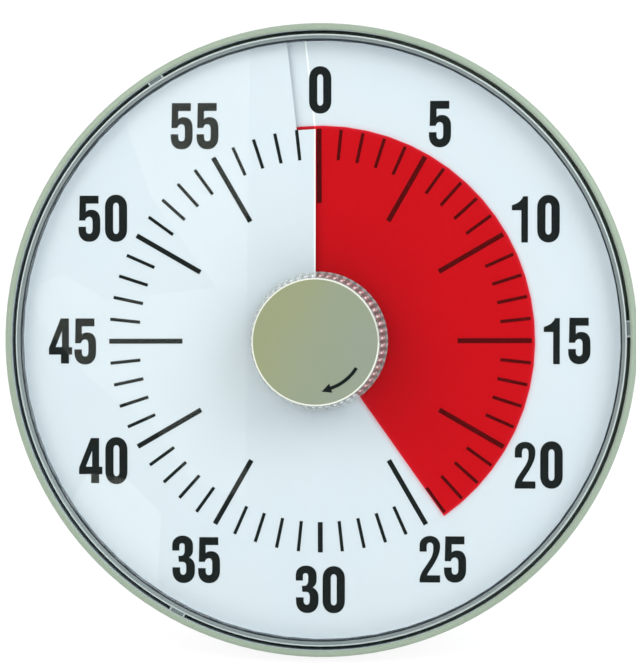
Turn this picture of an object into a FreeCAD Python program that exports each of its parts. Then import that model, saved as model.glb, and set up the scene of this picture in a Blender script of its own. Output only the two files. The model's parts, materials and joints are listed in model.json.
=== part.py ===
import FreeCAD, Part
import Sketcher
import math
import os
import re
from FreeCAD import Placement, Rotation, Vector

# A round countdown timer with a see-through disc that comes up through a slit in its dial.
# It is drawn lying on its back: X to the right of the dial, Y towards the 0, Z towards the
# viewer, with the flat of the back at Z 0. At the end it is stood up on its leg.
# Clock angles run clockwise from the 0, as the viewer sees them.

SIZES = {
    "case_rad": 95,
    "belt_low": 20,
    "taper": 7,
    "back_round": 2,
    "wall": 2.1,
    "lip_round": 1.4,
    "lip_edge": 0.4,
    "split": 7,
    "tongue": 1.2,
    "tongue_high": 2,
    "floor_thick": 2.2,
    "ring_gap": 1.1,
    "ring_land": 1.4,
    "ring_wall": 0.8,
    "ring_drop": 0.8,
    "ring_step": 0.35,
    "tab_wide": 5,
    "tab_high": 4,
    "tab_bite": 0.7,
    "tab_first": 87.7,
    "tab_count": 3,
    "lens_drop": 1.4,
    "lens_thick": 2,
    "lens_flange": 1.3,
    "lens_hole": 8,
    "card_thick": 0.4,
    "rim_wall": 0.7,
    "card_hole": 11.5,
    "film_thick": 0.2,
    "film_rad": 64.5,
    "film_gap": 0.4,
    "slit_rise": 1.6,
    "slit_side": 1.4,
    "slit_inset": 1.05,
    "slit_lean": 6.4,
    "underlap": 10,
    "set_angle": 144.7,
    "plate_thick": 2,
    "ledge_thick": 2,
    "ledge_wide": 12,
    "ramp_gap": 1.7,
    "hub_rad": 10.2,
    "hub_high": 2.3,
    "shaft_rad": 3,
    "shaft_flat": 2.3,
    "pivot_rad": 1.5,
    "bush_wall": 2,
    "bush_flange": 2.5,
    "fit": 0.1,
    "run": 0.05,
    "knob_rad": 18.95,
    "knob_lift": 0.6,
    "cap_thick": 1.2,
    "cap_chamfer": 0.45,
    "cap_wall": 1.3,
    "grip_high": 13.3,
    "grip_foot": 20.7,
    "grip_step": 0.35,
    "grip_teeth": 56,
    "tooth_cut": 0.5,
    "box_half": 29,
    "box_right": 25,
    "box_high": 13,
    "box_back": 5.6,
    "box_gap": 0.25,
    "box_play": 1.1,
    "box_wall": 1.4,
    "arbor_rad": 0.7,
    "module_slow": 0.45,
    "module_mid": 0.4,
    "module_fast": 0.35,
    "output_teeth": 60,
    "third_leaves": 10,
    "third_teeth": 50,
    "second_leaves": 10,
    "second_teeth": 60,
    "rotor_leaves": 6,
    "third_angle": -40,
    "second_angle": 208,
    "rotor_angle": 175,
    "stator_half": 10.2,
    "stator_thick": 1,
    "coil_out": 10,
    "coil_half": 6.8,
    "coil_rad": 2.7,
    "flange_thick": 0.8,
    "leaf_free": 5,
    "leaf_reach": 18,
    "leaf_end": 12,
    "leaf_thick": 0.3,
    "leaf_wide": 1.9,
    "sound_ring": 3.6,
    "sound_hole": 0.9,
    "screw_inset": 6,
    "screw_rad": 1.15,
    "screw_head": 2.7,
    "post_rad": 3.2,
    "post_angle": 20,
    "plate_angle": 60,
    "ear_out": 3.5,
    "ear_drop": 3,
    "ear_thick": 1.5,
    "cell_rad": 7.15,
    "cell_long": 50.2,
    "bay_mid": 46,
    "bay_wall": 1.4,
    "door_thick": 1.7,
    "door_pin": 0.6,
    "magnet_rad": 6,
    "magnet_thick": 2.8,
    "magnet_inset": 18.4,
    "magnet_angle": 35,
    "leg_wide": 42,
    "leg_thick": 3.4,
    "leg_open": 20,
    "leg_heel": 2.8,
    "hinge_y": -15,
    "hinge_z": 2.3,
    "pin_rad": 1.25,
    "pad_long": 6,
    "board_inset": 12,
    "board_long": 40,
    "board_wide": 30,
    "board_thick": 1,
    "board_low": 8,
    "sounder_in": 26,
    "sounder_rad": 8,
    "switch_in": 8,
    "switch_travel": 3.8,
}

# Levels and radii that follow from the sizes above
DERIVED = {
    "back_rad": "case_rad - taper",
    "slope": "taper / belt_low",
    "split_rad": "back_rad + slope * split",
    "inner_rad": "case_rad - wall",
    "ring_top": "case_depth - ring_drop",
    "ring_out": "inner_rad - ring_gap",
    "ring_in": "ring_out - ring_land",
    "skirt_in": "ring_out - ring_wall",
    "recess_deep": "hinge_z + leg_thick / 2 * cos(leg_open) + leg_heel * sin(leg_open) + fit",
    "box_low": "floor_thick + recess_deep + box_gap",
    "box_joint": "box_low + box_back",
    "floor_back": "box_low + box_high",
    "floor_top": "floor_back + plate_thick",
    "card_low": "floor_top + slit_rise / 2 + film_thick / 2 + film_gap",
    "lens_back": "card_low + 1.5 * slit_rise + film_thick / 2 + film_gap",
    "lens_top": "lens_back + lens_thick",
    "case_depth": "lens_top + lens_drop",
    "flange_top": "lens_back + lens_flange",
    "ledge_back": "floor_back - ledge_thick",
    "rim_out": "skirt_in - 1.5 * fit",
    "rim_in": "rim_out - rim_wall",
    "card_rad": "rim_in - 1.5 * fit",
    "slit_reach": "film_rad - slit_inset",
    "ledge_in": "card_rad - ledge_wide",
    "ramp_in": "film_rad + ramp_gap",
    "screw_ring": "back_rad - screw_inset",
    "magnet_ring": "back_rad - magnet_inset",
    "tab_low": "floor_back + 3.6",
    "bush_rad": "shaft_rad + bush_wall",
    "bush_low": "floor_back - 1.2",
    "box_top": "floor_back - fit",
    "clip_top": "bush_low - 0.7",
    "clip_low": "clip_top - 0.6",
    "wheel_top": "clip_low - 1.2",
    "wheel_low": "wheel_top - 1.2",
    "collar_low": "wheel_low - 1.3",
    "knob_low": "lens_top + knob_lift",
    "grip_end": "knob_low + grip_high",
    "shaft_top": "grip_end - 1.6",
    "cap_core": "knob_rad - cap_wall",
    "grip_top": "knob_rad + grip_step",
    "ear_right": "box_right + ear_out",
    "ear_left": "-box_half - ear_out",
    "leg_long": "back_rad + hinge_y",
    "leg_half": "leg_wide / 2",
    "recess_half": "leg_half + 1",
    "recess_top": "hinge_y + leg_heel + 1.2",
    "boss_top": "floor_thick + 2.8",
    "cell_mid": "floor_thick + 0.4 + cell_rad + fit",
    "bay_half": "cell_long / 2 + 3.4",
    "bay_tall": "cell_rad + 0.85",
    "bay_top": "cell_mid + cell_rad + 0.3",
    "door_half": "bay_half + 0.5",
    "door_axis": "bay_mid - bay_tall - 0.4",
    "door_end": "bay_mid + bay_tall + 1",
    "door_mid": "door_thick / 2 + run",
    "stator_low": "box_low + box_wall + 0.4",
    "third_x": "module_slow * (output_teeth + third_leaves) / 2 * cos(third_angle)",
    "third_y": "module_slow * (output_teeth + third_leaves) / 2 * sin(third_angle)",
    "second_x": "third_x + module_mid * (third_teeth + second_leaves) / 2 * cos(second_angle)",
    "second_y": "third_y + module_mid * (third_teeth + second_leaves) / 2 * sin(second_angle)",
    "rotor_x": "second_x + module_fast * (second_teeth + rotor_leaves) / 2 * cos(rotor_angle)",
    "rotor_y": "second_y + module_fast * (second_teeth + rotor_leaves) / 2 * sin(rotor_angle)",
    "coil_x": "rotor_x - coil_out",
    "second_tip": "module_fast * (second_teeth / 2 + 0.75)",
    "box_fall": "second_tip - second_y + box_play + box_wall",
    "board_x": "back_rad - board_inset - board_long",
    "sounder_x": "board_x + sounder_in",
    "switch_x": "board_x + switch_in",
}

doc = FreeCAD.newDocument("CountdownTimer")
sheet = doc.addObject("Spreadsheet::Sheet", "Sizes")
for row, (alias, number) in enumerate(SIZES.items(), 1):
    sheet.set(f"A{row}", alias)
    sheet.set(f"B{row}", str(number))
    sheet.setAlias(f"B{row}", alias)
doc.recompute()


def bound(rule):
    """A size rule as an expression on the sheet."""

    def cell(match):
        word = match.group(0)
        if word in DERIVED:
            return "(" + bound(DERIVED[word]) + ")"
        return "Sizes." + word if word in SIZES else word

    return re.sub(r"[a-z_]+", cell, str(rule))


def worth(rule):
    """The number that a size rule gives now."""
    return float(sheet.evalExpression(bound(rule).replace("Sizes.", "")))


# Drawing


def new_body(label):
    body = doc.addObject("PartDesign::Body", label)
    body.Label = label
    return body


def origin_item(body, role):
    return [item for item in body.Origin.OriginFeatures if item.Role == role][0]


def new_sketch(body, lift="0", role="XY_Plane", angle=None):
    """A sketch on a plane of the body's own origin, lifted along its normal and turned in it."""
    drawing = body.newObject("Sketcher::SketchObject", body.Label + "_sketch")
    drawing.AttachmentSupport = [(origin_item(body, role), "")]
    drawing.MapMode = "FlatFace"
    drawing.setExpression("AttachmentOffset.Base.z", bound(lift))
    if angle is not None:
        drawing.AttachmentOffset = Placement(Vector(0, 0, 0), Rotation(Vector(0, 0, 1), 10))
        drawing.setExpression("AttachmentOffset.Rotation.Angle", bound(angle))
    return drawing


def hold(drawing, kind, item, point, rule):
    """Hold one coordinate of a point at a size rule."""
    if str(rule) == "0":
        axis = -2 if kind == "DistanceX" else -1
        drawing.addConstraint(Sketcher.Constraint("PointOnObject", item, point, axis))
        return
    limit = Sketcher.Constraint(kind, -1, 1, item, point, worth(rule))
    drawing.setExpression(f"Constraints[{drawing.addConstraint(limit)}]", bound(rule))


def outline(drawing, corners, arcs=None):
    """A closed outline; arcs gives a side's radius, and the side bulges left of its way round."""
    arcs = arcs or {}
    spots = [Vector(worth(across), worth(up), 0) for across, up in corners]
    ends = []
    for side, start in enumerate(spots):
        finish = spots[(side + 1) % len(spots)]
        if side not in arcs:
            number = drawing.addGeometry(Part.LineSegment(start, finish))
            ends.append((number, 1, 2))
            continue
        radius = worth(arcs[side])
        chord = finish - start
        sink = abs(radius) - math.sqrt(max(radius * radius - chord.Length**2 / 4, 0))
        left = Vector(-chord.y, chord.x, 0).normalize() * math.copysign(sink, radius)
        bend = Part.Arc(start, (start + finish) / 2 + left, finish)
        number = drawing.addGeometry(bend)
        forward = drawing.getPoint(number, 1).distanceToPoint(start) < chord.Length / 2
        ends.append((number, 1, 2) if forward else (number, 2, 1))
        limit = Sketcher.Constraint("Radius", number, abs(radius))
        rule = f"abs({arcs[side]})"
        drawing.setExpression(f"Constraints[{drawing.addConstraint(limit)}]", bound(rule))
    for side, (across, up) in enumerate(corners):
        number, start_point, end_point = ends[side]
        following = ends[(side + 1) % len(ends)]
        drawing.addConstraint(
            Sketcher.Constraint("Coincident", number, end_point, following[0], following[1])
        )
        hold(drawing, "DistanceX", number, start_point, across)
        hold(drawing, "DistanceY", number, start_point, up)


def box_outline(drawing, left, right, low, high):
    outline(drawing, [(left, low), (right, low), (right, high), (left, high)])


def circles(drawing, places, radius):
    for across, up in places:
        centre = Vector(worth(across), worth(up), 0)
        number = drawing.addGeometry(Part.Circle(centre, Vector(0, 0, 1), worth(radius)))
        hold(drawing, "DistanceX", number, 3, across)
        hold(drawing, "DistanceY", number, 3, up)
        limit = Sketcher.Constraint("Radius", number, worth(radius))
        drawing.setExpression(f"Constraints[{drawing.addConstraint(limit)}]", bound(radius))


# Features


def feature(body, kind, drawing, amount=None, back=False):
    item = body.newObject("PartDesign::" + kind, body.Label + "_" + kind.lower())
    item.Profile = drawing
    if amount is not None:
        item.setExpression("Length", bound(amount))
        item.Reversed = back
    drawing.Visibility = False
    body.Tip = item
    return item


def revolve(body, corners, arcs=None, kind="Revolution"):
    """A profile of radius and height, turned round the dial's axis."""
    drawing = new_sketch(body, "0", "XZ_Plane")
    outline(drawing, corners, arcs)
    item = feature(body, kind, drawing)
    item.ReferenceAxis = (drawing, ["V_Axis"])
    item.Angle = 360
    return item


def pad_box(body, left, right, low, high, base, height):
    drawing = new_sketch(body, base)
    box_outline(drawing, left, right, low, high)
    return feature(body, "Pad", drawing, height)


def cut_box(body, left, right, low, high, base, depth, up=True):
    drawing = new_sketch(body, base)
    box_outline(drawing, left, right, low, high)
    return feature(body, "Pocket", drawing, depth, up)


def pad_rounds(body, places, radius, base, height, back=False):
    drawing = new_sketch(body, base)
    circles(drawing, places, radius)
    return feature(body, "Pad", drawing, height, back)


def drill(body, places, radius, base, depth, up=True):
    drawing = new_sketch(body, base)
    circles(drawing, places, radius)
    return feature(body, "Pocket", drawing, depth, up)


def repeat(body, item, count):
    """Copies of a feature round the dial's axis."""
    ring = body.newObject("PartDesign::PolarPattern", body.Label + "_ring")
    ring.Originals = [item]
    ring.Axis = (origin_item(body, "Z_Axis"), [""])
    ring.Angle = 360
    ring.setExpression("Occurrences", bound(count))
    body.Tip = ring
    return ring


def four_corners(ring, angle):
    """Four places on a ring, the same angle each side of the X axis."""
    across = f"{ring} * cos({angle})"
    up = f"{ring} * sin({angle})"
    return [(f"{a}{across}", f"{b}{up}") for a in ("", "-") for b in ("", "-")]


# The leaning frame: the widest line of the case and the edge of the leg's foot stand on one plane

FOOT_Y = "hinge_y - leg_long * cos(leg_open) - leg_thick / 2 * sin(leg_open)"
FOOT_Z = "hinge_z - leg_long * sin(leg_open) + leg_thick / 2 * cos(leg_open)"
lean = math.atan2(worth(FOOT_Y) + worth("case_rad"), worth("belt_low") - worth(FOOT_Z))


def depth_of(up, forward):
    """How far back a point of the dial's Y and Z lies once the case leans."""
    return up * math.sin(lean) - forward * math.cos(lean)


front_most = depth_of(worth("lip_round - case_rad"), worth("case_depth"))
rear_most = depth_of(worth("back_rad - back_round"), 0)
rise = worth("case_rad") * math.cos(lean) - worth("belt_low") * math.sin(lean)
STAND = Placement(
    Vector(0, -(front_most + rear_most) / 2, rise),
    Rotation(Vector(1, 0, 0), 90 - math.degrees(lean)),
)


def seat(body, local=None):
    """Give a piece its place: first in the lying timer, then stood up."""
    body.Placement = STAND.multiply(local) if local else STAND
    return body


def at(across, up, height="0", turn=None):
    spot = Vector(worth(across), worth(up), worth(height))
    return Placement(spot, turn or Rotation())


# Case


def make_case_rim():
    body = new_body("case_rim")
    revolve(
        body,
        [
            ("split_rad", "split"),
            ("case_rad", "belt_low"),
            ("case_rad", "case_depth - lip_round"),
            ("case_rad - lip_round * (1 - cos(30))", "case_depth - lip_round * (1 - sin(30))"),
            ("case_rad - lip_round * (1 - cos(60))", "case_depth - lip_round * (1 - sin(60))"),
            ("case_rad - lip_round", "case_depth"),
            ("inner_rad + lip_edge", "case_depth"),
            ("inner_rad", "case_depth - lip_edge"),
            ("inner_rad", "floor_back"),
            ("ledge_in", "floor_back"),
            ("ledge_in", "ledge_back"),
            ("back_rad + slope * ledge_back - wall", "ledge_back"),
            ("split_rad - wall", "split"),
        ],
    )
    posts = four_corners("screw_ring", "post_angle")
    pad_rounds(body, posts, "post_rad", "boss_top", "ledge_back - boss_top")
    drill(body, posts, "screw_rad", "boss_top", "8")
    drill(
        body,
        four_corners("screw_ring", "plate_angle"),
        "screw_rad + 0.5",
        "ledge_back",
        "ledge_thick",
    )
    drawing = new_sketch(body, "tab_low - 0.3", angle="90 - tab_first")
    box_outline(
        drawing,
        "inner_rad - 0.5",
        "inner_rad + tab_bite + fit",
        "-tab_wide / 2 - 0.3",
        "tab_wide / 2 + 0.3",
    )
    pocket = feature(body, "Pocket", drawing, "tab_high + 0.6", True)
    repeat(body, pocket, "tab_count")
    return seat(body)


def make_rear_cover():
    body = new_body("rear_cover")
    revolve(
        body,
        [
            ("0", "0"),
            ("back_rad - back_round", "0"),
            ("back_rad - back_round * (1 - sin(45))", "back_round * (1 - cos(45))"),
            ("back_rad + slope * back_round", "back_round"),
            ("split_rad", "split - fit"),
            ("split_rad - wall - fit", "split - fit"),
            ("split_rad - wall - fit", "split + tongue_high"),
            ("split_rad - wall - tongue", "split + tongue_high"),
            ("split_rad - wall - tongue", "floor_thick"),
            ("0", "floor_thick"),
        ],
    )
    # The housing round the leg's recess
    drawing = new_sketch(body, "floor_thick")
    side = "recess_half + 6"
    low = f"-sqrt((split_rad - wall - tongue / 2) ^ 2 - ({side}) ^ 2)"
    corners = [
        ("-(" + side + ")", "recess_top + 3"),
        ("-(" + side + ")", low),
        (side, low),
        (side, "recess_top + 3"),
    ]
    outline(drawing, corners, {1: "-(split_rad - wall - tongue / 2)"})
    feature(body, "Pad", drawing, "recess_deep")
    # The battery bay, the screw bosses, the magnet cups and the board's pegs
    pad_box(
        body,
        "-bay_half - bay_wall",
        "bay_half + bay_wall",
        "bay_mid - bay_tall - bay_wall",
        "bay_mid + bay_tall + bay_wall",
        "floor_thick",
        "bay_top + bay_wall - floor_thick",
    )
    posts = four_corners("screw_ring", "post_angle")
    pad_rounds(body, posts, "post_rad + 0.6", "floor_thick", "boss_top - fit - floor_thick")
    cups = four_corners("magnet_ring", "magnet_angle")
    pad_rounds(body, cups, "magnet_rad + bay_wall", "floor_thick", "magnet_thick - fit")
    pegs = [
        ("board_x + " + inset, sign + "(board_wide / 2 - 3)")
        for inset in ("3", "board_long - 3")
        for sign in ("", "-")
    ]
    pad_rounds(body, pegs, "2.2", "floor_thick", "board_low - floor_thick")
    pad_rounds(body, pegs, "1", "board_low", "board_thick + 0.5")
    # Everything that is open towards the back
    cut_box(body, "-recess_half", "recess_half", "-case_rad", "recess_top", "0", "recess_deep")
    cut_box(
        body,
        "-bay_half",
        "bay_half",
        "bay_mid - bay_tall",
        "bay_mid + bay_tall",
        "floor_thick + 1.8",
        "bay_top - floor_thick - 1.8",
    )
    cut_box(
        body,
        "-bay_half + 1.3",
        "bay_half - 1.3",
        "bay_mid - bay_tall + 0.6",
        "bay_mid + bay_tall - 0.6",
        "0",
        "floor_thick + 2",
    )
    cut_box(
        body,
        "-door_half - 2 * fit",
        "door_half + 2 * fit",
        "door_axis - door_thick / 2 - 2.5 * fit",
        "door_end + 2 * fit",
        "0",
        "door_thick + 2 * fit",
    )
    cut_box(body, "-5", "5", "door_end - 1", "door_end + 4", "0", "1.2")
    drill(body, posts, "screw_rad + 0.5", "0", "boss_top")
    drill(body, posts, "screw_head + 0.3", "0", "2.6")
    drill(body, cups, "magnet_rad + run", "0", "magnet_thick + fit")
    holes = [("sounder_x", "0")]
    for index in range(6):
        step = f"{60 * index}"
        holes.append(
            (f"sounder_x + sound_ring * cos({step})", f"sound_ring * sin({step} + 0.0001)")
        )
    drill(body, holes, "sound_hole", "0", "floor_thick")
    cut_box(body, "switch_x - 4", "switch_x + 4", "-6", "6", "0", "1")
    cut_box(
        body,
        "switch_x - 1.3",
        "switch_x + 1.3",
        "-switch_travel / 2 - 1.8",
        "switch_travel / 2 + 1.8",
        "0",
        "floor_thick",
    )
    # The sockets of the leg's pin and of the door's two pins
    for radius, up, height, start, length in (
        ("pin_rad", "hinge_y", "hinge_z", "recess_half + 3", "2 * (recess_half + 3)"),
        ("door_pin + run", "door_axis", "door_mid", "door_half + 1.4", "2 * (door_half + 1.4)"),
    ):
        drawing = new_sketch(body, start, "YZ_Plane")
        circles(drawing, [(up, height)], radius)
        feature(body, "Pocket", drawing, length)
    return seat(body)


def make_lens_ring():
    body = new_body("lens_ring")
    under = "flange_top + fit"
    middle = "ring_in + ring_land * 0.45"
    revolve(
        body,
        [
            ("ring_in", under),
            ("ring_in", "ring_top - ring_step - 0.2"),
            ("ring_in + 0.2", "ring_top - ring_step"),
            (middle, "ring_top - ring_step"),
            (middle + " + 0.1", "ring_top - 0.1"),
            (middle + " + 0.3", "ring_top"),
            ("ring_out - 0.3", "ring_top"),
            ("ring_out", "ring_top - 0.3"),
            ("ring_out", "floor_back + 1.2"),
            ("skirt_in", "floor_back + 1.2"),
            ("skirt_in", under),
        ],
    )
    drawing = new_sketch(body, "tab_low", angle="90 - tab_first")
    box_outline(
        drawing, "skirt_in + 0.2", "inner_rad + tab_bite", "-tab_wide / 2", "tab_wide / 2"
    )
    tab = feature(body, "Pad", drawing, "tab_high")
    repeat(body, tab, "tab_count")
    return seat(body)


def make_lens():
    body = new_body("lens")
    revolve(
        body,
        [
            ("lens_hole", "lens_back"),
            ("skirt_in - fit", "lens_back"),
            ("skirt_in - fit", "flange_top"),
            ("ring_in - fit", "flange_top"),
            ("ring_in - fit", "lens_top - 0.2"),
            ("ring_in - fit - 0.2", "lens_top"),
            ("lens_hole", "lens_top"),
        ],
    )
    return seat(body)


def make_screws(label, places, head_low, head_thick, tip):
    """Screws that are driven from the back."""
    body = new_body(label)
    pad_rounds(body, places, "screw_head", head_low, head_thick)
    pad_rounds(body, places, "screw_rad", head_low, f"({tip}) - ({head_low})")
    return seat(body)


# Dial


SECTION_STEP = 6


def spiral_height(clock, base):
    """Height of a spiral of the slit's rise at a clock angle in degrees."""
    return base + worth("slit_rise") * clock / 360


def radial(clock, radius, height):
    turn = math.radians(90 - clock)
    return Vector(radius * math.cos(turn), radius * math.sin(turn), height)


def spiral_solid(start, finish, inner, outer, low, high):
    """A spiral sheet of flat facets; low and high give its two faces at a clock angle."""
    steps = max(round((finish - start) / SECTION_STEP), 1)
    sections = []
    for step in range(steps + 1):
        clock = start + (finish - start) * step / steps
        sections.append(
            [
                radial(clock, inner, low(clock)),
                radial(clock, outer, low(clock)),
                radial(clock, outer, high(clock)),
                radial(clock, inner, high(clock)),
            ]
        )
    facets = [sections[0], sections[-1]]
    for this, following in zip(sections, sections[1:]):
        for side in range(4):
            a, b = this[side], this[(side + 1) % 4]
            c, d = following[(side + 1) % 4], following[side]
            facets += [[a, b, c, d]] if side in (1, 3) else [[a, b, c], [a, c, d]]
    faces = [Part.Face(Part.makePolygon(facet + facet[:1])) for facet in facets]
    solid = Part.makeSolid(Part.makeShell(faces))
    return solid if solid.Volume > 0 else solid.reversed()


def plain_feature(label, shape):
    item = doc.addObject("Part::Feature", label)
    item.Label = label
    item.Shape = shape
    return item


def card_face(side):
    """The card's upper face with side 1, its lower face with side -1."""
    return lambda clock: spiral_height(clock, worth("card_low") + side * worth("card_thick / 2"))


def make_dial_card():
    """One turn of a spiral, whose high end is trimmed to the slit and hides the low end."""
    sheet_turn = spiral_solid(
        -worth("underlap"),
        360,
        worth("card_hole"),
        worth("card_rad"),
        card_face(-1),
        card_face(1),
    )
    side = -worth("slit_side")
    reach = worth("slit_reach")
    far = worth("card_rad") * 1.1
    away = -worth("slit_lean")
    edge = [
        Vector(side, worth("card_hole") / 2, 0),
        Vector(side, math.sqrt(reach * reach - side * side), 0),
        radial(away, reach, 0),
        radial(away, far, 0),
        Vector(far / 4, far, 0),
        Vector(far / 4, worth("card_hole") / 2, 0),
    ]
    trim = Part.Face(Part.makePolygon(edge + edge[:1]))
    trim.translate(Vector(0, 0, spiral_height(180, worth("card_low"))))
    trim = trim.extrude(Vector(0, 0, worth("slit_rise") * 2))
    return seat(plain_feature("dial_card", sheet_turn.cut(trim)))


def make_dial_ramp():
    """The spacer that carries the card; it stops where the card's low end tucks under."""
    floor = worth("floor_top")
    under = card_face(-1)
    shape = spiral_solid(
        -worth("underlap"),
        360 - worth("underlap") - 4,
        worth("ramp_in"),
        worth("card_rad"),
        lambda clock: floor,
        lambda clock: under(clock) - worth("run"),
    )
    return seat(plain_feature("dial_ramp", shape))


def make_film_disc():
    """The red sheet: half the slit's rise above the card, then below it past the slit."""
    lead = worth("set_angle")
    half = worth("film_thick") / 2
    middle = worth("card_low") + worth("slit_rise") / 2
    shape = spiral_solid(
        lead - 359.6,
        lead,
        worth("hub_rad") / math.cos(math.radians(SECTION_STEP / 2)),
        worth("film_rad"),
        lambda clock: spiral_height(clock, middle - half),
        lambda clock: spiral_height(clock, middle + half),
    )
    return seat(plain_feature("film_disc", shape))


FILM_MID = "card_low + slit_rise * set_angle / 360"


def shaft_key(body, base, height, play):
    """A web in a bore that meets the shaft's flat."""
    return pad_box(
        body, f"shaft_flat + {play}", "shaft_rad + 0.6", "-2.2", "2.2", base, height
    )


def make_film_hub():
    body = new_body("film_hub")
    low = f"{FILM_MID} - hub_high / 2"
    high = f"{FILM_MID} + hub_high / 2"
    revolve(
        body,
        [("shaft_rad + run", low), ("hub_rad", low), ("hub_rad", high), ("shaft_rad + run", high)],
    )
    shaft_key(body, low, "hub_high", "run")
    return seat(body)


EARS = [("ear_right", "0"), ("ear_left", "0")]


def make_dial_plate():
    body = new_body("dial_plate")
    revolve(
        body,
        [
            ("bush_rad", "floor_back"),
            ("rim_out", "floor_back"),
            ("rim_out", "lens_back"),
            ("rim_in", "lens_back"),
            ("rim_in", "floor_top"),
            ("bush_rad", "floor_top"),
        ],
    )
    pad_rounds(body, EARS, "ear_out - 0.5", "floor_back", "ear_drop", True)
    drill(body, EARS, "screw_rad", "floor_back - ear_drop", "ear_drop + 1")
    places = four_corners("screw_ring", "plate_angle")
    drill(body, places, "screw_rad", "floor_back", "1.7")
    return seat(body)


# Knob and shaft


def make_knob_cap():
    body = new_body("knob_cap")
    top = "grip_end + cap_thick"
    revolve(
        body,
        [
            ("shaft_rad", "knob_low + 0.6"),
            ("shaft_rad + 3.2", "knob_low + 0.6"),
            ("shaft_rad + 3.2", "shaft_top"),
            ("cap_core - 3.9", "shaft_top"),
            ("cap_core - 3.9", "knob_low + 1"),
            ("cap_core", "knob_low + 1"),
            ("cap_core", "grip_end"),
            ("knob_rad", "grip_end"),
            ("knob_rad", top + " - cap_chamfer"),
            ("knob_rad - cap_chamfer", top),
            ("0", top),
            ("0", "shaft_top"),
            ("shaft_rad", "shaft_top"),
        ],
    )
    shaft_key(body, "knob_low + 0.6", "shaft_top - knob_low - 0.6", "0")
    return seat(body)


def make_knob_grip():
    body = new_body("knob_grip")
    inner = "cap_core + fit"
    revolve(
        body,
        [
            (inner, "knob_low"),
            ("grip_foot", "knob_low"),
            ("grip_foot", "knob_low + 1.2"),
            ("grip_foot - 0.4", "knob_low + 1.8"),
            ("grip_top", "grip_end - 0.4"),
            ("grip_top - 0.4", "grip_end - 0.05"),
            (inner, "grip_end - 0.05"),
        ],
    )
    drawing = new_sketch(body, "knob_low + 1.2")
    outline(
        drawing,
        [
            ("grip_top - tooth_cut", "0"),
            ("grip_foot + 0.5", "-grip_foot * 1.9 / grip_teeth"),
            ("grip_foot + 0.5", "grip_foot * 1.9 / grip_teeth"),
        ],
    )
    groove = feature(body, "Pocket", drawing, "grip_high", True)
    repeat(body, groove, "grip_teeth")
    return seat(body)


def make_drive_shaft():
    body = new_body("drive_shaft")
    neck = "shaft_rad - 0.6"
    revolve(
        body,
        [
            ("0", "box_low + 0.2"),
            ("pivot_rad", "box_low + 0.2"),
            ("pivot_rad", "box_low + box_wall + 0.2"),
            ("shaft_rad", "box_low + box_wall + 0.2"),
            ("shaft_rad", "collar_low"),
            ("shaft_rad + 1.4", "collar_low"),
            ("shaft_rad + 1.4", "wheel_low - fit"),
            ("shaft_rad", "wheel_low - fit"),
            ("shaft_rad", "clip_low"),
            (neck, "clip_low"),
            (neck, "clip_top"),
            ("shaft_rad", "clip_top"),
            ("shaft_rad", "shaft_top"),
            ("0", "shaft_top"),
        ],
    )
    cut_box(
        body,
        "shaft_flat",
        "shaft_rad + 1",
        "-shaft_rad",
        "shaft_rad",
        "shaft_top",
        "shaft_top - floor_top",
        False,
    )
    return seat(body)


def make_shaft_bush():
    body = new_body("shaft_bush")
    bore = "shaft_rad + run"
    revolve(
        body,
        [
            (bore, "bush_low"),
            ("bush_rad + bush_flange", "bush_low"),
            ("bush_rad + bush_flange", "floor_back"),
            ("bush_rad", "floor_back"),
            ("bush_rad", "floor_top - 0.1"),
            (bore, "floor_top - 0.1"),
        ],
    )
    return seat(body)


def make_shaft_clip():
    body = new_body("shaft_clip")
    pad_rounds(body, [("0", "0")], "shaft_rad + 2", "clip_low", "clip_top - clip_low")
    drill(body, [("0", "0")], "shaft_rad - 0.6", "clip_low", "clip_top - clip_low")
    cut_box(
        body,
        "-shaft_rad + 1",
        "shaft_rad - 1",
        "-shaft_rad - 3",
        "0",
        "clip_low",
        "clip_top - clip_low",
    )
    return seat(body)


def make_clutch_washer():
    body = new_body("clutch_washer")
    inner, outer = "shaft_rad + run", "shaft_rad + 3.4"
    revolve(
        body,
        [
            (inner, "clip_low - 0.4"),
            (outer, "wheel_top + 0.1"),
            (outer, "wheel_top + 0.4"),
            (inner, "clip_low - 0.1"),
        ],
    )
    return seat(body)


def make_zero_cam():
    body = new_body("zero_cam")
    base = "stator_low + 0.2"
    pad_rounds(body, [("0", "0")], "shaft_rad + 1.5", base, "1.2")
    drill(body, [("0", "0")], "shaft_rad", base, "1.2")
    cut_box(body, "-0.8", "0.8", "shaft_rad + 0.6", "shaft_rad + 2", base, "1.2")
    return seat(body)


# Movement


def gear(body, teeth, module, base, height, tip, phase, bore):
    """A toothed wheel: a root disc, one tooth with straight flanks, and its copies."""
    pitch = f"{module} * {teeth} / 2"
    root = f"({pitch} - 1.15 * {module})"
    end = f"({pitch} + {tip} * {module})"
    pad_rounds(body, [("0", "0")], root, base, height)
    drawing = new_sketch(body, base, angle=phase)
    wide = f"0.78 * {module}"
    thin = f"0.3 * {module}"
    outline(
        drawing,
        [
            (f"{root} - 0.3 * {module}", f"-{wide}"),
            (pitch, f"-0.68 * {module}"),
            (end, f"-{thin}"),
            (end, thin),
            (pitch, f"0.68 * {module}"),
            (f"{root} - 0.3 * {module}", wide),
        ],
    )
    tooth = feature(body, "Pad", drawing, height)
    repeat(body, tooth, teeth)
    if bore:
        drill(body, [("0", "0")], bore, base, height)


THIRD = ("third_x", "third_y")
SECOND = ("second_x", "second_y")
ROTOR = ("rotor_x", "rotor_y")
BORE = "arbor_rad + run"


def make_output_wheel():
    body = new_body("output_wheel")
    height = "wheel_top - wheel_low"
    gear(
        body,
        "output_teeth",
        "module_slow",
        "wheel_low",
        height,
        0.75,
        "third_angle",
        "shaft_rad + run",
    )
    return seat(body)


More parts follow.
